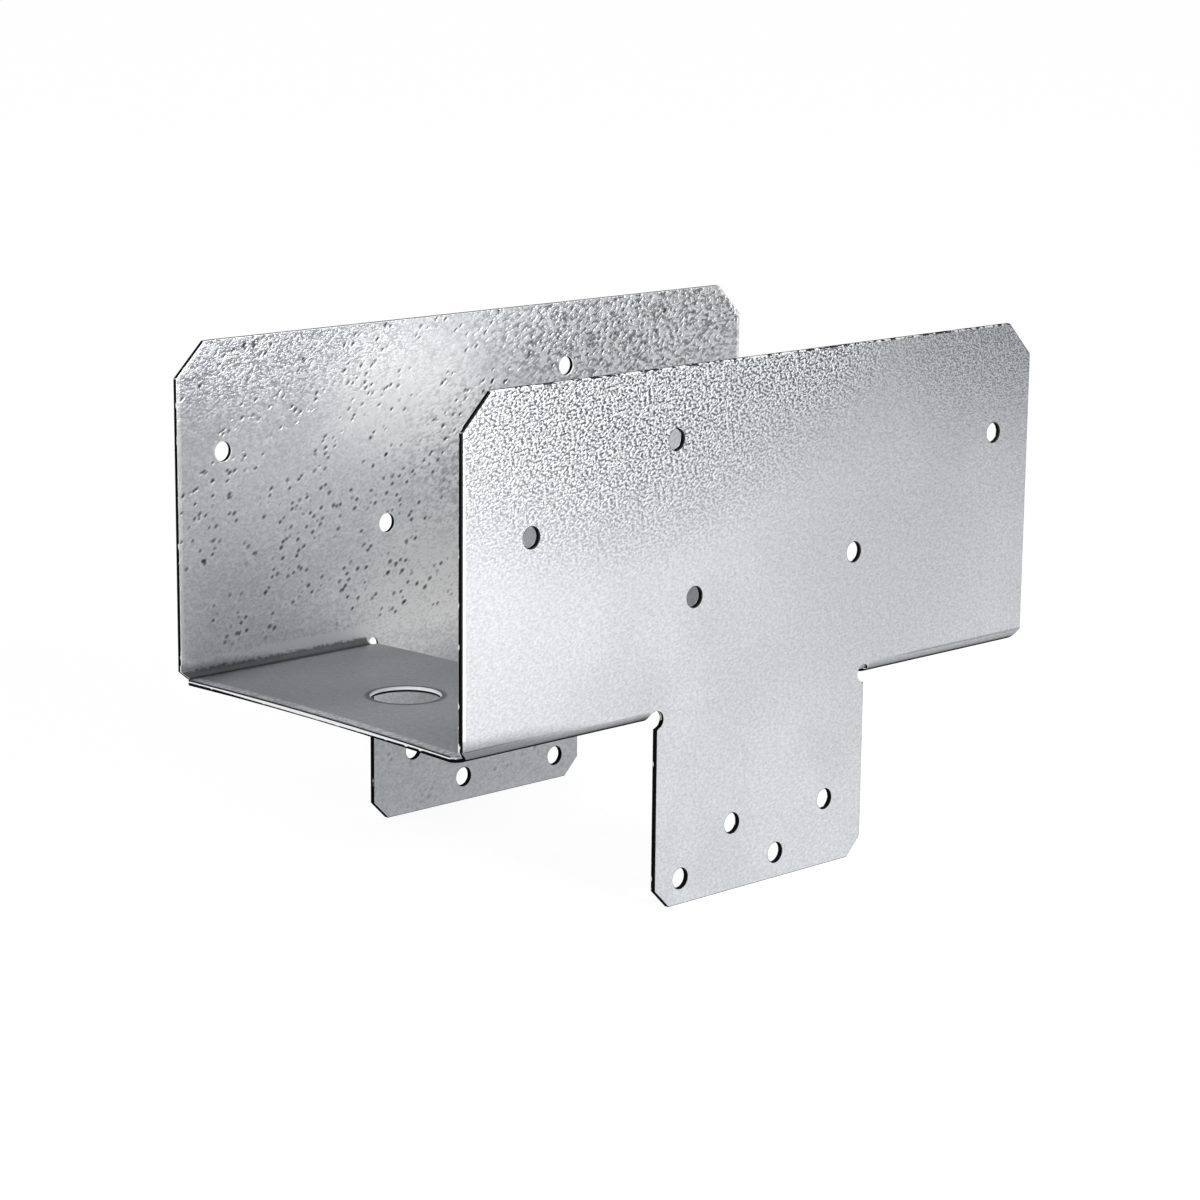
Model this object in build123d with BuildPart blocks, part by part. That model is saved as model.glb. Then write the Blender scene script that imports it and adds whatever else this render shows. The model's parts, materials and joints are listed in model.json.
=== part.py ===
from build123d import *
import os
from math import cos, radians, sin

# A column cap folded from one piece of galvanised sheet, in millimetres.
# A beam lies along X between two upright flanges. A post comes up from below between two legs.
# The legs are cut out of the seat, so the seat is a plate at each end with an open window between.
# The origin is under the middle of the cap, on the surface that the legs stand on.

# The sheet and its folds
sheet = 1.2
bend_radius = 1.6
seat_crown = 0.7

# The saddle that holds the beam
cap_length = 171.5
beam_width = 90.5
flange_height = 74.0
flange_corner = 7.5

# The two legs that clasp the post
leg_width = 64.0
leg_length = 41.0
leg_corner = 4.2

# Nail holes in each flange, along the flange from its middle and up from the seat's underside
nail_diameter = 4.4
low_end_nail = (18.2, 43.6)
high_end_nail = (12.1, 49.6)
upper_nail = (-27.3, 58.9)
lower_nails = [(-21.4, 25.1), (27.7, 28.2)]

# Nail holes in each leg: two rows of two, the upper row moved along by the stagger
leg_nail_margin = 7.55
leg_nail_pitch = 29.1
leg_nail_stagger = 15.4
leg_nail_rows = [5.7, 14.9]

# One round hole through each seat plate
seat_hole_diameter = 15.0
seat_hole_inset = 25.0

# Reliefs punched on the fold line: round at the roots of the legs, and a notch at each end of a fold
fold_turn = 60
relief_diameter = 4.0
notch_depth = 2.3

# Sizes that follow from those above
cap_width = beam_width + 2 * sheet
outer_radius = bend_radius + sheet
seat_height = leg_length
cap_height = seat_height + flange_height
half_length = cap_length / 2
half_width = cap_width / 2
half_leg = leg_width / 2
fold_height = seat_height + outer_radius * (1 - sin(radians(fold_turn)))
fold_inset = half_width - outer_radius * (1 - cos(radians(fold_turn)))

# The outer faces of the front and the back wall. The back is the front turned half round,
# so a place given along a wall serves both.
front_wall = Plane(origin=(0, -half_width, 0), x_dir=(1, 0, 0), z_dir=(0, -1, 0))
back_wall = Plane(origin=(0, half_width, 0), x_dir=(-1, 0, 0), z_dir=(0, 1, 0))

# Where the nails go, in a wall's own directions
flange_nails = [
    (low_end_nail[0] - half_length, seat_height + low_end_nail[1]),
    (half_length - high_end_nail[0], seat_height + high_end_nail[1]),
    (upper_nail[0], seat_height + upper_nail[1]),
]
flange_nails += [(along, seat_height + up) for along, up in lower_nails]
first_leg_nail = leg_nail_margin - half_leg
leg_nails = [
    (first_leg_nail + row * leg_nail_stagger + place * leg_nail_pitch, up)
    for row, up in enumerate(leg_nail_rows)
    for place in range(2)
]

# The punched reliefs as they stand after folding: each outline is seen both from the front and
# from below, so it follows the sheet round the fold. Over a leg's width the relief stays in the wall.
with BuildPart() as fold_reliefs:
    with BuildSketch(front_wall):
        with Locations((-half_leg, fold_height), (half_leg, fold_height)):
            Circle(relief_diameter / 2)
        with Locations((0, fold_height)):
            Rectangle(leg_width, relief_diameter, mode=Mode.SUBTRACT)
        with Locations((-half_length, fold_height), (half_length, fold_height)):
            RegularPolygon(notch_depth, 4)
    extrude(amount=-cap_width)
    with BuildSketch():
        with GridLocations(leg_width, 2 * fold_inset, 2, 2):
            Circle(relief_diameter / 2)
        with GridLocations(cap_length, 2 * fold_inset, 2, 2):
            RegularPolygon(notch_depth, 4)
    extrude(amount=cap_height, mode=Mode.INTERSECT)

with BuildPart() as column_cap:
    # The channel, end on: two flanges and a seat that bows up a little between the folds
    with BuildSketch(Plane.YZ) as section:
        with BuildLine():
            ThreePointArc(
                (-half_width, seat_height),
                (0, seat_height + seat_crown),
                (half_width, seat_height),
            )
            Polyline(
                (half_width, seat_height),
                (half_width, cap_height),
                (beam_width / 2, cap_height),
                (beam_width / 2, seat_height + sheet),
            )
            ThreePointArc(
                (beam_width / 2, seat_height + sheet),
                (0, seat_height + sheet + seat_crown),
                (-beam_width / 2, seat_height + sheet),
            )
            Polyline(
                (-beam_width / 2, seat_height + sheet),
                (-beam_width / 2, cap_height),
                (-half_width, cap_height),
                (-half_width, seat_height),
            )
        make_face()
        fillet(section.vertices().group_by(Axis.Y)[1], bend_radius)
        fillet(section.vertices().group_by(Axis.Y)[0], outer_radius)
    extrude(amount=half_length, both=True)

    # The window in the seat, where the legs were cut out of it
    with BuildSketch(Plane.XY.offset(seat_height)):
        Rectangle(leg_width, beam_width)
    extrude(amount=seat_crown + sheet + bend_radius, mode=Mode.SUBTRACT)

    # The legs run straight down from the flanges, with their lower corners cut off
    for wall in (front_wall, back_wall):
        with BuildSketch(wall) as leg:
            Rectangle(leg_width, seat_height + outer_radius, align=(Align.CENTER, Align.MIN))
            chamfer(leg.vertices().group_by(Axis.Y)[0], leg_corner)
        extrude(amount=-sheet)

    # The flanges' upper corners
    chamfer(column_cap.edges().filter_by(Axis.Y).group_by(Axis.Z)[-1], flange_corner)

    # Nail holes, and the half of each root relief that stays in the wall
    for wall in (front_wall, back_wall):
        with BuildSketch(wall):
            with Locations((-half_leg, fold_height), (half_leg, fold_height)):
                Circle(relief_diameter / 2)
            with Locations((0, fold_height)):
                Rectangle(leg_width, relief_diameter, mode=Mode.INTERSECT)
            with Locations(flange_nails + leg_nails):
                Circle(nail_diameter / 2)
        extrude(amount=-sheet, mode=Mode.SUBTRACT)

    # The seat's round holes
    with BuildSketch(Plane.XY.offset(seat_height)):
        with GridLocations(cap_length - 2 * seat_hole_inset, 0, 2, 1):
            Circle(seat_hole_diameter / 2)
    extrude(amount=seat_crown + 2 * sheet, mode=Mode.SUBTRACT)

    # The half of each relief that turns with the seat, and the notches at the ends of the folds
    add(fold_reliefs.part, mode=Mode.SUBTRACT)

column_cap.part.label = "column_cap"
os.makedirs("parts", exist_ok=True)
export_step(column_cap.part, "parts/column_cap.step")
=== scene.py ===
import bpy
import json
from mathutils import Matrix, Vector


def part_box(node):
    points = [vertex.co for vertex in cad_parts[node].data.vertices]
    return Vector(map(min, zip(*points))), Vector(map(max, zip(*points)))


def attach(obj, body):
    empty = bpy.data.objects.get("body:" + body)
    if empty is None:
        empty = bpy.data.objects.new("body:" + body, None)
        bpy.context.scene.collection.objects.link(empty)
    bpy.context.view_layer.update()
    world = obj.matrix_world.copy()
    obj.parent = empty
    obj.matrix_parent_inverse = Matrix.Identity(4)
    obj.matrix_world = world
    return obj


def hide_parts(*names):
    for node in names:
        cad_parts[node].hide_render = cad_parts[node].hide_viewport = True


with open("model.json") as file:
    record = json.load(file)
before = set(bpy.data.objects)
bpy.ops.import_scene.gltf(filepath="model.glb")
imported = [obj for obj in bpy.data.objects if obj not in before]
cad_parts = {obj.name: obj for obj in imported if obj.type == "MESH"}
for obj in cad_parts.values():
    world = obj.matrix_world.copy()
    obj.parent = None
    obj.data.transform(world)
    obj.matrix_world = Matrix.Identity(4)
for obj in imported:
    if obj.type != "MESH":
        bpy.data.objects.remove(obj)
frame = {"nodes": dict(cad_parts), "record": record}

"""The looks of a folded column cap: its galvanised sheet, its sheared edges and the studio it stands in."""

import functools
import json
import logging
import math
from dataclasses import dataclass, field
from enum import Enum

import bmesh
import bpy
from mathutils import Matrix, Vector

log = logging.getLogger("column_cap")

MM = 0.001

# How far off its own surface a patch of the coat still acts, and the seat's level, in millimetres
WALL_GAP = 1.1
SEAT_GAP = 5.0
SEAT_LEVEL = 42.0

# What noise gives on average
NOISE_MIDDLE = 0.5

Pair = tuple[float, float]
Triple = tuple[float, float, float]
Colour = tuple[float, float, float, float]
Socket = bpy.types.NodeSocket


class Face(Enum):
    """The sheet's faces on the two walls, by how far across each one lies, in millimetres."""

    FRONT_OUTSIDE = -46.45
    FRONT_INSIDE = -45.25
    BACK_INSIDE = 45.25
    BACK_OUTSIDE = 46.45


class Detail(Enum):
    """How many finer layers a noise has."""

    SOFT = 1.0
    FINE = 2.0
    RICH = 3.0


def grey(level: float) -> Colour:
    """A neutral colour."""
    return (level, level, level, 1.0)


class Graph:
    """A short way to write a material's nodes."""

    SHARE, FIRST, SECOND, BLEND = 0, 6, 7, 2

    def __init__(self, owner: bpy.types.Material | bpy.types.World) -> None:
        """Start an empty node tree.

        Args:
            owner: the material or world whose nodes are written.
        """
        owner.use_nodes = True
        self.tree = owner.node_tree
        self.tree.nodes.clear()

    def add(self, kind: str, inputs: dict | None = None, **settings) -> bpy.types.Node:
        """Add a node, set its options and fill its sockets.

        Args:
            kind: the node's type name, without the ShaderNode in front.
            inputs: for each socket's name or number, an output socket to link or a plain value.
            settings: the node's own options.

        Returns:
            The new node.
        """
        node = self.tree.nodes.new("ShaderNode" + kind)
        for name, value in settings.items():
            setattr(node, name, value)
        for key, value in (inputs or {}).items():
            socket = node.inputs[key]
            if isinstance(value, Socket):
                self.tree.links.new(value, socket)
            else:
                socket.default_value = value
        return node

    def math(self, operation: str, *values: Socket | float) -> Socket:
        """One step of arithmetic.

        Args:
            operation: the operation's name.
            values: the sockets or numbers that it takes.

        Returns:
            The result's socket.
        """
        return self.add("Math", dict(enumerate(values)), operation=operation).outputs[0]

    def product(self, *values: Socket | float) -> Socket:
        """Multiply any number of values."""
        return functools.reduce(functools.partial(self.math, "MULTIPLY"), values)

    def between(self, value: Socket, low: float, high: float) -> Socket:
        """One between two limits, and nothing outside them."""
        over = self.math("GREATER_THAN", value, low)
        return self.product(over, self.math("LESS_THAN", value, high))

    def toward(self, mask: Socket, level: float) -> Socket:
        """A factor that goes from one, where a mask is nothing, to a level where it is one."""
        return self.math("MULTIPLY_ADD", mask, level - 1.0, 1.0)

    def only(self, factor: Socket, mask: Socket) -> Socket:
        """Keep a factor where a mask is one, and leave one elsewhere."""
        return self.math("MULTIPLY_ADD", self.math("SUBTRACT", factor, 1.0), mask, 1.0)

    def split(self, where: Socket) -> tuple[Socket, Socket, Socket]:
        """Take coordinates apart, into along the cap, across it and up."""
        return tuple(self.add("SeparateXYZ", {0: where}).outputs)

    def ramp(self, value: Socket, low: float, high: float) -> Socket:
        """A smooth step from 0 to 1.

        Args:
            value: what is measured.
            low: where the step starts.
            high: where it ends, which may lie below the start.

        Returns:
            The step's socket.
        """
        inputs = {"Value": value, "From Min": low, "From Max": high}
        return self.add("MapRange", inputs, interpolation_type="SMOOTHSTEP").outputs[0]

    def drawn(self, where: Socket, size: Triple, lean: float = 0.0) -> Socket:
        """Draw coordinates out along a leaning line of the walls, and scale them.

        Args:
            where: coordinates in millimetres.
            size: how long, deep and high one step becomes, in millimetres.
            lean: how far the line rises from the level, in radians.

        Returns:
            The new coordinates.
        """
        inputs = {"Vector": where, "Rotation": (0.0, -lean, 0.0), "Scale": size}
        return self.add("Mapping", inputs, vector_type="TEXTURE").outputs[0]

    def noise(self, where: Socket, width: float, detail: Detail) -> Socket:
        """Soft noise.

        Args:
            where: coordinates in millimetres.
            width: about how wide one blotch is.
            detail: how many finer layers it has.

        Returns:
            The noise, near its middle.
        """
        inputs = {"Vector": where, "Scale": 1.0 / width, "Detail": detail.value}
        return self.add("TexNoise", inputs).outputs[0]

    def shade(self, colour: Socket, factor: Socket) -> Socket:
        """Darken or lighten a colour.

        Args:
            colour: the colour's socket.
            factor: what it is multiplied by.

        Returns:
            The new colour's socket.
        """
        return self.add("VectorMath", {0: colour, "Scale": factor}, operation="SCALE").outputs[0]

    def mix(self, share: Socket, first: Socket | Colour, second: Socket | Colour) -> Socket:
        """Blend two colours.

        Args:
            share: how much of the second there is, 0 to 1.
            first: a colour or its socket.
            second: a colour or its socket.

        Returns:
            The blended colour's socket.
        """
        inputs = {self.SHARE: share, self.FIRST: first, self.SECOND: second}
        return self.add("Mix", inputs, data_type="RGBA").outputs[self.BLEND]


@dataclass(frozen=True)
class Patch:
    """A soft-edged region of the coat, in millimetres."""

    centre: Triple
    radii: Triple
    core: float
    strength: float

    @classmethod
    def on_wall(cls, face: Face, middle: Pair, reach: Pair, core: float, strength: float = 1.0) -> "Patch":
        """Set a patch on one face of a wall.

        Args:
            face: the only face that it acts on.
            middle: its middle, along the cap and up.
            reach: how far it goes from there, along the cap and up.
            core: the share of its reach that has the full strength.
            strength: how strong it is there.

        Returns:
            The patch.
        """
        along, up = middle
        long, high = reach
        return cls((along, face.value, up), (long, WALL_GAP, high), core, strength)

    @classmethod
    def on_seat(cls, middle: Pair, reach: Pair, core: float) -> "Patch":
        """Set a patch on the seat.

        Args:
            middle: its middle, along the cap and across it.
            reach: how far it goes from there, along the cap and across it.
            core: the share of its reach that has the full strength.

        Returns:
            The patch, at full strength.
        """
        return cls((*middle, SEAT_LEVEL), (*reach, SEAT_GAP), core, 1.0)

    def mask(self, graph: Graph, where: Socket) -> Socket:
        """Write the region as a mask.

        Args:
            graph: the material's nodes.
            where: coordinates in millimetres.

        Returns:
            The patch's strength in the core, falling to nothing at the radii.
        """
        away = graph.add("VectorMath", {0: where, 1: self.centre}, operation="SUBTRACT").outputs[0]
        share = graph.add("VectorMath", {0: away, 1: self.radii}, operation="DIVIDE").outputs[0]
        reach = graph.add("VectorMath", {0: share}, operation="LENGTH").outputs["Value"]
        return graph.product(graph.ramp(reach, 1.0, self.core), self.strength)


@dataclass(frozen=True)
class Tint:
    """A region where the coat has another tone or another gloss; in most of them painted light or painted
    shade sets the tone.
    """

    patch: Patch
    tone: Colour
    rougher: float = 0.0


@dataclass(frozen=True)
class Grain:
    """A fine relief of the coat: its grains' width, draw and lean, its depth, and their dark and light."""

    width: float
    stretch: float
    lean: float
    depth: float
    shades: Pair
    steps: Pair
    elsewhere: float
    patches: tuple[Patch, ...]

    def share(self, graph: Graph, where: Socket) -> Socket:
        """How strongly the relief shows at each place.

        Args:
            graph: the material's nodes.
            where: coordinates in millimetres.

        Returns:
            The patches' strength, and the relief's share elsewhere outside them.
        """
        masks = [patch.mask(graph, where) for patch in self.patches]
        share = functools.reduce(functools.partial(graph.math, "MAXIMUM"), masks)
        return graph.math("MULTIPLY_ADD", share, 1.0 - self.elsewhere, self.elsewhere)

    def write(self, graph: Graph, where: Socket, tone: Socket) -> tuple[Socket, Socket]:
        """Write the relief over a tone.

        Args:
            graph: the material's nodes.
            where: coordinates in millimetres.
            tone: the coat's colour so far.

        Returns:
            The new colour, and the relief's height in millimetres.
        """
        share = self.share(graph, where)
        drawn = graph.drawn(where, (self.stretch, 1.0, 1.0), self.lean)
        pattern = graph.ramp(graph.noise(drawn, self.width, Detail.SOFT), *self.steps)
        dark, light = self.shades
        factor = graph.math("MULTIPLY_ADD", pattern, light - dark, dark)
        height = graph.product(pattern, share, self.depth)
        return graph.shade(tone, graph.only(factor, share)), height


@dataclass(frozen=True)
class Pits:
    """Small pits in the zinc of the inner faces, each with a painted highlight round its rim, in leaning
    streaks.
    """

    spacing: float
    radius: float
    count: float
    patch: Patch
    crowd: float = 0.10
    stretch: float = 1.5
    lean: float = math.radians(38.0)
    streak: Triple = (14.0, 8.0, 5.0)
    uneven: float = 0.9
    dark: float = 0.86
    # painted highlight: how much each pit's rim is lightened
    light: float = 0.07
    depth: float = 0.10
    chance_share: float = 0.14
    chance_step: float = 0.04
    dot: Pair = (1.0, 0.1)
    rim: Pair = (1.5, 1.0)

    def kept(self, graph: Graph, where: Socket, chance: Socket) -> Socket:
        """Choose which cells hold a pit.

        Args:
            graph: the material's nodes.
            where: coordinates in millimetres.
            chance: a number of its own for each cell, 0 to 1.

        Returns:
            One where there is a pit, in streaks and most of all in the patch.
        """
        streaks = graph.noise(graph.drawn(where, self.streak, self.lean), 1.0, Detail.SOFT)
        crowd = graph.math("MULTIPLY_ADD", chance, self.chance_share, streaks)
        crowd = graph.math("MULTIPLY_ADD", self.patch.mask(graph, where), self.crowd, crowd)
        return graph.ramp(crowd, self.count, self.count + self.chance_step)

    def write(self, graph: Graph, where: Socket, inside: Socket, tone: Socket) -> tuple[Socket, Socket]:
        """Write the pits over a tone.

        Args:
            graph: the material's nodes.
            where: coordinates in millimetres.
            inside: one where there may be pits.
            tone: the coat's colour so far.

        Returns:
            The new colour, and the pits' height in millimetres, which is below zero.
        """
        size = self.spacing
        drawn = graph.drawn(where, (size * self.stretch, size, size), self.lean)
        cells = graph.add("TexVoronoi", {"Vector": drawn, "Scale": 1.0}).outputs
        chance, small, _ = graph.add("SeparateColor", {0: cells["Color"]}).outputs
        shrink = graph.math("MULTIPLY_ADD", small, self.uneven, 1.0)
        away = graph.product(cells["Distance"], shrink, size / self.radius)
        dot = graph.ramp(away, *self.dot)
        ring = graph.math("SUBTRACT", graph.ramp(away, *self.rim), dot)
        kept = graph.product(self.kept(graph, where, chance), inside)
        # painted highlight round each pit's rim
        factor = graph.math("MULTIPLY_ADD", ring, self.light, 1.0)
        factor = graph.math("MULTIPLY_ADD", dot, -self.dark, factor)
        height = graph.product(dot, kept, -self.depth)
        return graph.shade(tone, graph.only(factor, kept)), height


@dataclass(frozen=True)
class WearAndPaintedHighlight:
    """What shears left at the seat's ends, at its holes and along the front wall's top, and a painted
    highlight beside the flanges' ends.
    """

    end: float = 85.75
    corner: float = 193.25
    flange_foot: float = 46.0
    strip: Pair = (1.1, 0.6)
    # painted highlight: how much the strip beside the flanges' ends is lightened
    end_highlight_gain: float = 1.7
    seat_span: Pair = (42.0, 44.6)
    seat_inside: float = 44.0
    seat_strip: Pair = (3.4, 2.4)
    seat_line: Pair = (1.0, 0.3)
    seat_lightness: float = 2.0
    seat_darkness: float = 0.25
    seat_broken: float = 0.6
    hole_place: float = 60.75
    hole_rim: float = 7.9
    ring: Pair = (9.2, 8.2)
    ring_shade: float = 0.28
    top: float = 115.0
    broken: float = 0.30
    front: float = -45.95
    dash: Triple = (1.3, 1.0, 0.8)
    dash_steps: Pair = (0.47, 0.53)
    dark: Colour = (0.03, 0.03, 0.032, 1.0)
    light: Colour = (0.95, 0.95, 0.96, 1.0)

    def to_end(self, graph: Graph, along: Socket) -> Socket:
        """How far it is to the nearer end of the cap, in millimetres."""
        return graph.math("SUBTRACT", self.end, graph.math("ABSOLUTE", along))

    def to_hole(self, graph: Graph, where: Socket) -> Socket:
        """How far it is to the middle of the nearer seat hole, seen from above.

        Args:
            graph: the material's nodes.
            where: coordinates in millimetres.

        Returns:
            The distance in millimetres.
        """
        along, across, _ = graph.split(where)
        beside = graph.math("SUBTRACT", graph.math("ABSOLUTE", along), self.hole_place)
        flat = graph.add("CombineXYZ", {0: beside, 1: across}).outputs[0]
        return graph.add("VectorMath", {0: flat}, operation="LENGTH").outputs["Value"]

    def dashes(self, graph: Graph, where: Socket) -> Socket:
        """The pattern of a broken edge: short dashes along it.

        Args:
            graph: the material's nodes.
            where: coordinates in millimetres.

        Returns:
            One on bright metal, nothing in the dark gaps.
        """
        pattern = graph.noise(graph.drawn(where, self.dash), 1.0, Detail.SOFT)
        return graph.ramp(pattern, *self.dash_steps)

    def end_highlight_strip(self, graph: Graph, where: Socket) -> Socket:
        """Lighten a narrow strip along the flanges' sheared ends and corners, as a painted highlight.

        Args:
            graph: the material's nodes.
            where: coordinates in millimetres.

        Returns:
            What the coat's tone is multiplied by.
        """
        along, across, up = graph.split(where)
        rise = graph.math("ADD", graph.math("ABSOLUTE", along), up)
        to_corner = graph.product(graph.math("SUBTRACT", self.corner, rise), math.sqrt(0.5))
        near = graph.ramp(graph.math("MINIMUM", self.to_end(graph, along), to_corner), *self.strip)
        flange = graph.math("GREATER_THAN", up, self.flange_foot)
        right = graph.math("GREATER_THAN", along, 0.0)
        # no painted highlight at the front wall's right end
        dull = graph.product(right, graph.math("LESS_THAN", across, 0.0))
        near = graph.product(near, flange, graph.math("SUBTRACT", 1.0, dull))
        return graph.toward(near, self.end_highlight_gain)

    def seat_edge(self, graph: Graph, where: Socket) -> Socket:
        """Lighten the seat's ends in dashes, and darken the lines along them and round the holes.

        Args:
            graph: the material's nodes.
            where: coordinates in millimetres.

        Returns:
            What the coat's tone is multiplied by.
        """
        along, across, up = graph.split(where)
        to_end = self.to_end(graph, along)
        inside = graph.math("LESS_THAN", graph.math("ABSOLUTE", across), self.seat_inside)
        seat = graph.product(graph.between(up, *self.seat_span), inside)
        dashes = self.dashes(graph, where)
        broken = graph.math("MULTIPLY_ADD", dashes, self.seat_broken, 1.0 - self.seat_broken)
        strip = graph.product(graph.ramp(to_end, *self.seat_strip), broken)
        light = graph.toward(strip, self.seat_lightness)
        line = graph.toward(graph.ramp(to_end, *self.seat_line), self.seat_darkness)
        ring = graph.toward(graph.ramp(self.to_hole(graph, where), *self.ring), self.ring_shade)
        return graph.only(graph.product(light, line, ring), seat)

    def write(self, graph: Graph, where: Socket, tone: Socket) -> Socket:
        """Write the shear marks of the two faces, and the painted highlight beside the flanges' ends, over a
        tone.

        Args:
            graph: the material's nodes.
            where: coordinates in millimetres.
            tone: the coat's colour so far.

        Returns:
            The new colour.
        """
        # painted highlight beside the flanges' ends
        tone = graph.shade(tone, self.end_highlight_strip(graph, where))
        return graph.shade(tone, self.seat_edge(graph, where))

    def broken_edge(self, graph: Graph, where: Socket, tone: Socket) -> Socket:
        """Break the top edge of the front wall into bright and dark dashes.

        Args:
            graph: the material's nodes.
            where: coordinates in millimetres.
            tone: the edge's colour so far.

        Returns:
            The new colour.
        """
        _, across, up = graph.split(where)
        high = graph.math("GREATER_THAN", up, self.top - self.broken)
        edge = graph.product(high, graph.math("LESS_THAN", across, self.front))
        return graph.mix(edge, tone, graph.mix(self.dashes(graph, where), self.dark, self.light))


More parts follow.
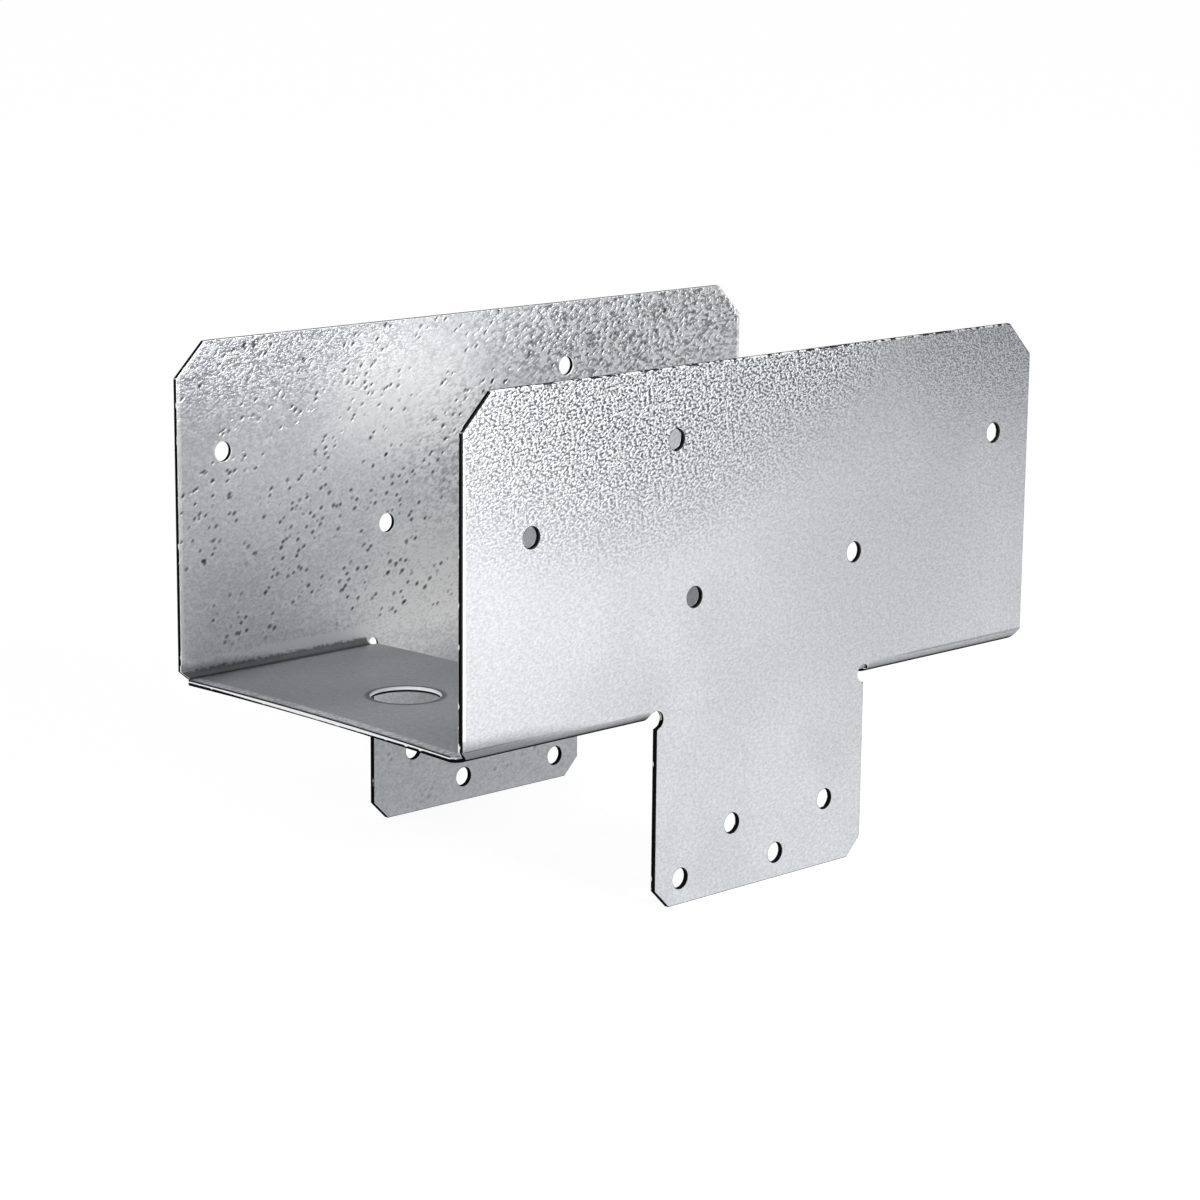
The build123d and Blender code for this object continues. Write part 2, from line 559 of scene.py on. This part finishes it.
@dataclass(frozen=True)
class Zinc:
    """The cap's finish: a zinc coat on both faces of the sheet, and bare steel where it was sheared, with
    painted shade and painted highlights in many regions, at the folds and beside the ends.
    """

    bright: Colour = (0.62, 0.63, 0.655, 1.0)
    dull: Colour = (0.56, 0.57, 0.595, 1.0)
    # painted shade: the dark tone at the foot of the outer folds
    folded: Colour = (0.20, 0.20, 0.215, 1.0)
    burnished: Colour = (0.90, 0.905, 0.915, 1.0)
    # near-black of torn steel, also painted shade on the dark edges and under the outer folds
    torn_steel_and_painted_shade: Colour = (0.010, 0.010, 0.011, 1.0)
    roughness: float = 0.38
    roughness_swing: float = 0.20
    cut_roughness: float = 0.55
    mirror_fade: Pair = (0.02, 0.06)
    clouds: float = 20.0
    cloud_steps: Pair = (0.3, 0.7)
    blotch: float = 1.4
    inner_face: float = 45.85
    fold_level: float = 43.0
    off_fold: Pair = (2.5, 7.0)
    leg_share: float = 0.35
    leg_side: float = 34.0
    # where the painted shade at the outer folds sets in
    fold_shade_fade: Pair = (44.2, 41.6)
    fold_shade_inside: float = 43.3
    # where the painted shade line under the outer folds sets in
    fold_line_shade_fade: Pair = (42.05, 41.75)
    fold_line_shade_inside: float = 43.8
    burnish: float = 0.03
    seat_burnish: float = 0.50
    end_burnish: float = 0.34
    end_start: float = 80.0
    burnish_edge: float = 0.08
    tongue_width: float = 2.2
    tongue_steps: Pair = (0.55, 0.75)
    tongue_depth: float = 0.3
    seat_span: Pair = (41.0, 45.0)
    crease_start: float = 43.0
    crease_grain: float = 0.9
    crease_swing: float = 1.6
    crease_dark: Pair = (43.8, 43.3)
    crease_light: Pair = (43.7, 44.3)
    crease_end: Pair = (46.6, 45.4)
    crease_shades: Pair = (0.42, 1.30)
    cut_layer: str = "cut_edge"
    rim_layer: str = "rim"
    depth_layer: str = "depth"
    grains: tuple[Grain, ...] = (
        Grain(0.46, 1.60, math.radians(8.0), 0.060, (0.18, 1.50), (0.35, 0.65), 0.12, (
            Patch.on_wall(Face.FRONT_OUTSIDE, (-42.0, 113.0), (84.0, 44.0), 0.2),
            Patch.on_wall(Face.FRONT_OUTSIDE, (4.0, 117.0), (46.0, 24.0), 0.3, 0.95),
            Patch.on_wall(Face.FRONT_OUTSIDE, (70.0, 118.0), (46.0, 28.0), 0.3, 0.40),
            Patch.on_wall(Face.BACK_INSIDE, (-66.0, 116.0), (60.0, 26.0), 0.2, 0.50),
            Patch.on_wall(Face.BACK_OUTSIDE, (20.0, 116.0), (110.0, 40.0), 0.1, 0.60),
        )),
        Grain(0.75, 1.80, math.radians(24.0), 0.100, (0.42, 1.40), (0.28, 0.66), 0.10, (
            Patch.on_wall(Face.BACK_INSIDE, (48.0, 112.0), (60.0, 28.0), 0.4),
            Patch.on_wall(Face.BACK_INSIDE, (-2.0, 84.0), (30.0, 26.0), 0.2, 0.50),
            Patch.on_wall(Face.FRONT_INSIDE, (-30.0, 114.0), (90.0, 32.0), 0.2, 0.70),
        )),
    )
    pits: tuple[Pits, ...] = (
        Pits(2.2, 1.10, 0.62, Patch.on_wall(Face.BACK_INSIDE, (-34.0, 70.0), (66.0, 44.0), 0.4)),
        Pits(1.5, 0.70, 0.63, Patch.on_wall(Face.BACK_INSIDE, (-34.0, 70.0), (72.0, 42.0), 0.3)),
    )
    wear_and_painted_highlight: WearAndPaintedHighlight = WearAndPaintedHighlight()
    tints_and_painted_light: tuple[Tint, ...] = (
        # painted highlights: a sheen high on the back wall's inner face
        Tint(Patch.on_wall(Face.BACK_INSIDE, (-12.0, 108.0), (48.0, 40.0), 0.1), (0.84, 0.845, 0.86, 1.0)),
        Tint(Patch.on_wall(Face.BACK_INSIDE, (-46.0, 92.0), (60.0, 26.0), 0.3), (0.84, 0.845, 0.86, 1.0)),
        # rougher, frosted zinc on the back wall's inner face, with painted light raising its tone
        Tint(Patch.on_wall(Face.BACK_INSIDE, (-24.0, 96.0), (34.0, 22.0), 0.2), grey(1.0), 0.10),
        Tint(
            Patch.on_wall(Face.BACK_INSIDE, (-50.0, 58.0), (100.0, 44.0), 0.3),
            (0.86, 0.865, 0.88, 1.0), 0.18,
        ),
        Tint(Patch.on_wall(Face.BACK_INSIDE, (-4.0, 46.0), (48.0, 32.0), 0.4), grey(1.0), 0.16),
        Tint(Patch.on_wall(Face.BACK_INSIDE, (52.0, 114.0), (60.0, 34.0), 0.3), (0.52, 0.525, 0.54, 1.0)),
        # painted light: the front wall's outer face lighter at its left end
        Tint(Patch.on_wall(Face.FRONT_OUTSIDE, (-84.0, 66.0), (56.0, 50.0), 0.1), (0.67, 0.68, 0.71, 1.0)),
        Tint(Patch.on_wall(Face.FRONT_OUTSIDE, (-28.0, 110.0), (92.0, 44.0), 0.2), (0.52, 0.53, 0.55, 1.0)),
        # painted shade: the front wall's outer face darker on its right and at its top right
        Tint(Patch.on_wall(Face.FRONT_OUTSIDE, (38.0, 62.0), (60.0, 50.0), 0.2), (0.53, 0.535, 0.555, 1.0)),
        Tint(Patch.on_wall(Face.FRONT_OUTSIDE, (78.0, 122.0), (96.0, 44.0), 0.1), (0.46, 0.465, 0.485, 1.0)),
        # painted shade on the seat, deepest beside both folds at its left end
        Tint(Patch.on_seat((-40.0, 0.0), (120.0, 50.0), 0.6), (0.37, 0.375, 0.395, 1.0)),
        Tint(Patch.on_seat((-58.0, 26.0), (40.0, 20.0), 0.2), (0.47, 0.475, 0.49, 1.0)),
        Tint(Patch.on_seat((-84.0, 50.0), (42.0, 20.0), 0.2), (0.29, 0.295, 0.31, 1.0)),
        Tint(Patch.on_seat((-84.0, -42.0), (44.0, 40.0), 0.2), (0.25, 0.255, 0.27, 1.0)),
        # painted shade: the back leg's inner face darker, as it mirrors the shadow under the cap
        Tint(Patch.on_wall(Face.BACK_INSIDE, (0.0, 5.0), (60.0, 44.0), 0.5), (0.42, 0.425, 0.44, 1.0)),
    )

    def pitted(self, graph: Graph, where: Socket) -> Socket:
        """Mark the inner faces of the walls, where the coat is pitted.

        Args:
            graph: the material's nodes.
            where: coordinates in millimetres.

        Returns:
            One on the walls, less on the legs, nothing at the folds and on the outer faces.
        """
        _, across, up = graph.split(where)
        inside = graph.math("LESS_THAN", graph.math("ABSOLUTE", across), self.inner_face)
        away = graph.math("ABSOLUTE", graph.math("SUBTRACT", up, self.fold_level))
        over = graph.math("GREATER_THAN", up, self.fold_level)
        share = graph.math("MULTIPLY_ADD", over, 1.0 - self.leg_share, self.leg_share)
        return graph.product(inside, share, graph.ramp(away, *self.off_fold))

    def fold(self, graph: Graph, where: Socket, fade: Pair, inner: float) -> Socket:
        """Mark the feet of the folds beside the legs, where shade is painted on the bend.

        Args:
            graph: the material's nodes.
            where: coordinates in millimetres.
            fade: the heights between which the mark sets in.
            inner: how far from the middle the mark starts.

        Returns:
            One at the foot of a fold, nothing on the flat sheet.
        """
        along, across, up = graph.split(where)
        beside = graph.math("GREATER_THAN", graph.math("ABSOLUTE", along), self.leg_side)
        outward = graph.math("GREATER_THAN", graph.math("ABSOLUTE", across), inner)
        return graph.product(graph.ramp(up, *fade), beside, outward)

    def crease(self, graph: Graph, where: Socket) -> Socket:
        """Darken a mottled band in the hollow of the inner folds, and lighten a band above it.

        Args:
            graph: the material's nodes.
            where: coordinates in millimetres.

        Returns:
            What the coat's tone is multiplied by.
        """
        along, across, up = graph.split(where)
        beside = graph.math("GREATER_THAN", graph.math("ABSOLUTE", along), self.leg_side)
        hollow = graph.between(graph.math("ABSOLUTE", across), self.crease_start, self.inner_face)
        grain = graph.noise(where, self.crease_grain, Detail.FINE)
        wobble = graph.math("SUBTRACT", grain, NOISE_MIDDLE)
        rough = graph.math("MULTIPLY_ADD", wobble, self.crease_swing, up)
        light = graph.product(graph.ramp(rough, *self.crease_light), graph.ramp(rough, *self.crease_end))
        shade, shine = self.crease_shades
        factor = graph.toward(graph.ramp(rough, *self.crease_dark), shade)
        factor = graph.math("MULTIPLY_ADD", light, shine - 1.0, factor)
        return graph.only(factor, graph.product(hollow, beside))

    def sheared(self, graph: Graph, where: Socket, depth: Socket) -> Socket:
        """Colour a sheared edge: burnished near the inner face and torn dark below, where the near-black is
        partly torn steel and partly painted shade.

        Args:
            graph: the material's nodes.
            where: coordinates in millimetres.
            depth: how far through the sheet it is, from its inner face.

        Returns:
            The edge's colour.
        """
        along, _, up = graph.split(where)
        seat = graph.between(up, *self.seat_span)
        end = graph.math("GREATER_THAN", graph.math("ABSOLUTE", along), self.end_start)
        wide = graph.math("MULTIPLY_ADD", end, self.end_burnish - self.seat_burnish, self.seat_burnish)
        line = graph.math("MULTIPLY_ADD", seat, graph.math("SUBTRACT", wide, self.burnish), self.burnish)
        tongues = graph.ramp(graph.noise(where, self.tongue_width, Detail.SOFT), *self.tongue_steps)
        torn = graph.math("SUBTRACT", depth, line)
        torn = graph.math("SUBTRACT", torn, graph.product(tongues, self.tongue_depth))
        return graph.mix(graph.ramp(torn, 0.0, self.burnish_edge), self.burnished, self.torn_steel_and_painted_shade)

    def rounded(self, graph: Graph, where: Socket, depth: Socket) -> Socket:
        """Colour an eased edge: bright beside the inner face and round the seat's holes, and near-black
        elsewhere, partly as painted shade.

        Args:
            graph: the material's nodes.
            where: coordinates in millimetres.
            depth: nothing beside the inner face, one beside the outer.

        Returns:
            The edge's colour.
        """
        _, _, up = graph.split(where)
        _, seat_top = self.seat_span
        low = graph.math("LESS_THAN", up, seat_top)
        off_hole = graph.math("GREATER_THAN", self.wear_and_painted_highlight.to_hole(graph, where), self.wear_and_painted_highlight.hole_rim)
        dark = graph.math("MAXIMUM", depth, graph.product(low, off_hole))
        return graph.mix(dark, self.burnished, self.torn_steel_and_painted_shade)

    def make(self, name: str) -> bpy.types.Material:
        """Write the material.

        Args:
            name: the material's name.

        Returns:
            The finished material.
        """
        material = bpy.data.materials.new(name)
        graph = Graph(material)
        place = graph.add("TexCoord").outputs["Object"]
        where = graph.add("VectorMath", {0: place, "Scale": 1.0 / MM}, operation="SCALE").outputs[0]
        layers = (self.cut_layer, self.rim_layer, self.depth_layer)
        cut, rim, depth = [graph.add("Attribute", attribute_name=layer).outputs["Fac"] for layer in layers]

        clouds = graph.ramp(graph.noise(where, self.clouds, Detail.RICH), *self.cloud_steps)
        tone = graph.mix(clouds, self.dull, self.bright)
        low = self.roughness - self.roughness_swing / 2
        blotches = graph.noise(where, self.blotch, Detail.FINE)
        rough = graph.math("MULTIPLY_ADD", blotches, self.roughness_swing, low)
        # most of these regions paint light or shade into the tone
        for tint in self.tints_and_painted_light:
            mask = tint.patch.mask(graph, where)
            tone = graph.mix(mask, tone, tint.tone)
            rough = graph.math("MULTIPLY_ADD", mask, tint.rougher, rough)
        rough = graph.math("MAXIMUM", rough, graph.product(cut, self.cut_roughness))

        heights = []
        for grain in self.grains:
            tone, height = grain.write(graph, where, tone)
            heights.append(height)
        inside = self.pitted(graph, where)
        for pits in self.pits:
            tone, height = pits.write(graph, where, inside, tone)
            heights.append(height)
        height = functools.reduce(functools.partial(graph.math, "ADD"), heights)
        bump = graph.add("Bump", {"Height": height, "Strength": 1.0, "Distance": MM})

        # painted shade: darken the foot of the outer folds
        tone = graph.mix(self.fold(graph, where, self.fold_shade_fade, self.fold_shade_inside), tone, self.folded)
        # painted shade: a near-black line under the outer folds
        tone = graph.mix(self.fold(graph, where, self.fold_line_shade_fade, self.fold_line_shade_inside), tone, self.torn_steel_and_painted_shade)
        tone = graph.shade(tone, self.crease(graph, where))
        tone = self.wear_and_painted_highlight.write(graph, where, tone)
        tone = graph.mix(rim, tone, self.rounded(graph, where, depth))
        colour = graph.mix(cut, tone, self.sheared(graph, where, depth))
        colour = self.wear_and_painted_highlight.broken_edge(graph, where, colour)
        level = graph.add("SeparateColor", {0: colour}).outputs[0]
        shader = graph.add("BsdfPrincipled", {
            "Base Color": colour,
            "Metallic": graph.ramp(level, *self.mirror_fade),
            "Specular IOR Level": 0.0,
            "Roughness": rough,
            "Normal": bump.outputs[0],
        })
        graph.add("OutputMaterial", {"Surface": shader.outputs[0]})
        return material


@dataclass
class FoldedCap:
    """The one folded sheet, with its edges eased as shears and punches leave them."""

    node: str = "column_cap"
    slot: str = "zinc_steel"
    edge_break: float = 0.18 * MM
    merge_gap: float = 0.06 * MM
    fold_reach: float = 1.8 * MM
    side_facing: float = 0.05
    flat_facing: float = 0.5
    flat_angle: float = math.radians(0.2)
    edge_angle: float = math.radians(40.0)
    mid_depth: float = 0.5
    crisp_along: float = 29.0 * MM
    crisp_across: float = 42.4 * MM
    crisp_up: Pair = (39.5 * MM, 47.0 * MM)
    finish: Zinc = field(default_factory=Zinc)

    def inner_wall(self) -> float:
        """How far the walls' inner faces stand from the middle, in metres."""
        faces = {mount["name"]: mount for mount in frame["record"]["mounts"]}
        return faces["back_beam_face"]["pos_m"][1]

    def is_cut(self, face: bmesh.types.BMFace) -> bool:
        """Tell a sheared or punched face from the sheet's own two faces.

        Args:
            face: a face of the copied sheet.

        Returns:
            Whether the face runs across the sheet's thickness.
        """
        across, up = abs(face.normal.y), abs(face.normal.z)
        reach = abs(face.calc_center_median().y)
        in_wall = reach > self.inner_wall() + self.merge_gap and across < self.flat_facing
        in_seat = reach < self.inner_wall() - self.fold_reach and up < self.flat_facing
        return abs(face.normal.x) > self.side_facing or in_wall or in_seat

    def is_outer(self, face: bmesh.types.BMFace) -> float:
        """One where a face looks out of the channel, and nothing where it looks in.

        Args:
            face: a face of the copied sheet that isn't sheared.

        Returns:
            Which of the sheet's two faces it lies on.
        """
        outward = math.copysign(face.normal.y, face.normal.y * face.calc_center_median().y)
        return float(face.normal.z - outward < 0.0)

    def is_crisp(self, edge: bmesh.types.BMEdge) -> bool:
        """Tell the small edges at the folds' ends and reliefs, which stay sharp.

        Args:
            edge: an edge of the copied sheet.

        Returns:
            Whether it lies in a corner of a fold.
        """
        middle = (edge.verts[0].co + edge.verts[1].co) / 2
        low, high = self.crisp_up
        beside = abs(middle.x) > self.crisp_along and abs(middle.y) > self.crisp_across
        return beside and low < middle.z < high

    def ease(self, sheet: bmesh.types.BMesh) -> None:
        """Mark the sheared faces and how deep each corner lies, and round the edges.

        Args:
            sheet: the copied sheet, with its doubles merged.
        """
        cut = sheet.faces.layers.float.new(self.finish.cut_layer)
        rim = sheet.faces.layers.float.new(self.finish.rim_layer)
        depth = sheet.verts.layers.float.new(self.finish.depth_layer)
        for face in sheet.faces:
            face[cut] = float(self.is_cut(face))
            face.smooth = True
        for vertex in sheet.verts:
            outer = [self.is_outer(face) for face in vertex.link_faces if not face[cut]]
            vertex[depth] = max(outer, default=self.mid_depth)
        rims = [
            edge for edge in sheet.edges
            if edge.is_manifold and edge.calc_face_angle() > self.edge_angle and not self.is_crisp(edge)
        ]
        eased = bmesh.ops.bevel(
            sheet, geom=rims, offset=self.edge_break, offset_type="OFFSET", segments=2,
            profile=0.5, affect="EDGES", clamp_overlap=False, material=-1,
        )
        for face in eased["faces"]:
            face[rim] = 1.0
            face[cut] = 0.0
            face.smooth = True

    def build(self) -> bpy.types.Object:
        """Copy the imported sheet, ease its edges and dress it.

        Returns:
            The finished piece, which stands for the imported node.
        """
        sheet = bmesh.new()
        sheet.from_mesh(frame["nodes"][self.node].data)
        bmesh.ops.remove_doubles(sheet, verts=sheet.verts, dist=self.merge_gap)
        bmesh.ops.dissolve_limit(
            sheet, angle_limit=self.flat_angle, verts=sheet.verts, edges=sheet.edges
        )
        self.ease(sheet)
        mesh = bpy.data.meshes.new("folded_sheet")
        sheet.to_mesh(mesh)
        sheet.free()
        piece = bpy.data.objects.new("folded_sheet", mesh)
        bpy.context.scene.collection.objects.link(piece)
        mesh.materials.append(self.finish.make("zinc_on_steel"))
        even = piece.modifiers.new("even_shading", "WEIGHTED_NORMAL")
        even.keep_sharp = True
        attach(piece, "root")
        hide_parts(self.node)
        return piece


@dataclass
class Studio:
    """A white floor in an even white room, with a soft box in front and a grey card at the right."""

    floor_side: float = 40.0
    floor_white: float = 0.85
    floor_glow: float = 0.88
    floor_shade: float = 0.28
    room_light: float = 0.50
    card_grey: float = 0.03
    card_size: Pair = (0.75, 0.6)
    card_place: Triple = (0.60, -0.30, 0.2)
    box_size: Pair = (0.5, 0.35)
    box_place: Triple = (0.10, -0.70, 0.30)
    box_power: float = 5.0
    lamp_size: Pair = (1.2, 1.2)
    lamp_place: Triple = (-0.6, -0.4, 1.7)
    lamp_power: float = 1.0

    @staticmethod
    def shown(graph: Graph) -> Socket:
        """One where a ray shows the background: straight, mirrored or through glass."""
        path = graph.add("LightPath").outputs
        seen = graph.math("MAXIMUM", path["Is Camera Ray"], path["Is Glossy Ray"])
        return graph.math("MAXIMUM", seen, path["Is Transmission Ray"])

    @staticmethod
    def facing(place: Triple) -> Matrix:
        """A place and a turn that looks from there at the middle of the cap.

        Args:
            place: where the lamp or card hangs.

        Returns:
            Its matrix.
        """
        middle = sum(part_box("column_cap"), Vector()) / 2
        turn = (middle - Vector(place)).to_track_quat("-Z", "Y").to_matrix().to_4x4()
        return Matrix.Translation(place) @ turn

    @staticmethod
    def sheet(name: str, size: Pair, where: Matrix, material: bpy.types.Material) -> bpy.types.Object:
        """Make a flat rectangle that belongs to the stage.

        Args:
            name: its name.
            size: its width and height.
            where: its place and turn.
            material: what it is made of.

        Returns:
            The finished rectangle.
        """
        plane = bmesh.new()
        bmesh.ops.create_grid(plane, x_segments=1, y_segments=1, size=0.5)
        bmesh.ops.scale(plane, vec=(*size, 1.0), verts=plane.verts)
        bmesh.ops.transform(plane, matrix=where, verts=plane.verts)
        mesh = bpy.data.meshes.new(name)
        plane.to_mesh(mesh)
        plane.free()
        mesh.materials.append(material)
        piece = bpy.data.objects.new(name, mesh)
        bpy.context.scene.collection.objects.link(piece)
        return piece

    def floor(self) -> bpy.types.Object:
        """Lay the floor that the legs stand on.

        Returns:
            The floor, which is stage and not part of the cap.
        """
        material = bpy.data.materials.new("floor_white")
        graph = Graph(material)
        plain = graph.add("BsdfDiffuse", {"Color": grey(self.floor_white)})
        shade = graph.add("BsdfDiffuse", {"Color": grey(self.floor_shade)})
        glow = graph.add("Emission", {"Strength": self.floor_glow})
        lit = graph.add("AddShader", {0: shade.outputs[0], 1: glow.outputs[0]})
        both = graph.add("MixShader", {0: self.shown(graph), 1: plain.outputs[0], 2: lit.outputs[0]})
        graph.add("OutputMaterial", {"Surface": both.outputs[0]})
        return self.sheet("floor", (self.floor_side, self.floor_side), Matrix(), material)

    def card(self) -> bpy.types.Object:
        """Stand a grey card at the right, which only the metal sees.

        Returns:
            The card, which is stage and not part of the cap.
        """
        material = bpy.data.materials.new("card_grey")
        graph = Graph(material)
        surface = graph.add("BsdfDiffuse", {"Color": grey(self.card_grey)})
        graph.add("OutputMaterial", {"Surface": surface.outputs[0]})
        card = self.sheet("grey_card", self.card_size, self.facing(self.card_place), material)
        card.visible_camera = False
        card.visible_shadow = False
        return card

    def room(self) -> None:
        """Light the cap evenly from all round."""
        world = bpy.data.worlds.new("white_room")
        bpy.context.scene.world = world
        graph = Graph(world)
        lit = graph.add("Background", {"Strength": self.room_light})
        white = graph.add("Background", {"Strength": 1.0})
        both = graph.add("MixShader", {0: self.shown(graph), 1: lit.outputs[0], 2: white.outputs[0]})
        graph.add("OutputWorld", {"Surface": both.outputs[0]})

    def lamp(self, name: str, size: Pair, place: Triple, power: float) -> bpy.types.Object:
        """Hang a soft lamp and turn it to the cap.

        Args:
            name: its name.
            size: its width and height.
            place: where it hangs.
            power: its power in watts.

        Returns:
            The lamp.
        """
        data = bpy.data.lights.new(name, "AREA")
        data.shape = "RECTANGLE"
        data.size, data.size_y = size
        data.energy = power
        lamp = bpy.data.objects.new(name, data)
        bpy.context.scene.collection.objects.link(lamp)
        lamp.matrix_world = self.facing(place)
        lamp.visible_camera = False
        return lamp

    def build(self) -> None:
        """Set the whole studio up and report each part of it."""
        for piece in (
            self.floor(),
            self.card(),
            self.lamp("front_box", self.box_size, self.box_place, self.box_power),
            self.lamp("high_lamp", self.lamp_size, self.lamp_place, self.lamp_power),
        ):
            log.info("stage %s", piece.name)
        self.room()


@dataclass
class Viewpoint:
    """Where the photograph was taken from."""

    place: Triple = (-0.5072, -0.5258, 0.2130)
    heading: float = math.radians(43.73)
    dip: float = math.radians(12.22)
    roll: float = math.radians(0.575)
    sensor: float = 36.0
    lens: float = 100.6

    def camera(self) -> bpy.types.Object:
        """Set up the camera.

        Returns:
            The scene's camera.
        """
        data = bpy.data.cameras.new("photo_view")
        data.sensor_width = self.sensor
        data.lens = self.lens
        camera = bpy.data.objects.new("photo_view", data)
        bpy.context.scene.collection.objects.link(camera)
        turn = Matrix.Rotation(-self.heading, 4, "Z")
        turn @= Matrix.Rotation(math.pi / 2 - self.dip, 4, "X")
        turn @= Matrix.Rotation(self.roll, 4, "Z")
        camera.matrix_world = Matrix.Translation(self.place) @ turn
        bpy.context.scene.camera = camera
        return camera


def main() -> None:
    """Build the cap and its studio, and report each piece."""
    logging.basicConfig(level=logging.INFO, format="%(name)s: %(message)s")
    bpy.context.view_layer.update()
    camera = Viewpoint().camera()
    log.info("camera %s with a %.1f mm lens", camera.name, camera.data.lens)
    sheet = FoldedCap().build()
    log.info("piece %s with %d faces", sheet.name, len(sheet.data.polygons))
    Studio().build()
    bpy.context.scene.view_settings.view_transform = "Standard"


if __name__ == "__main__":
    main()
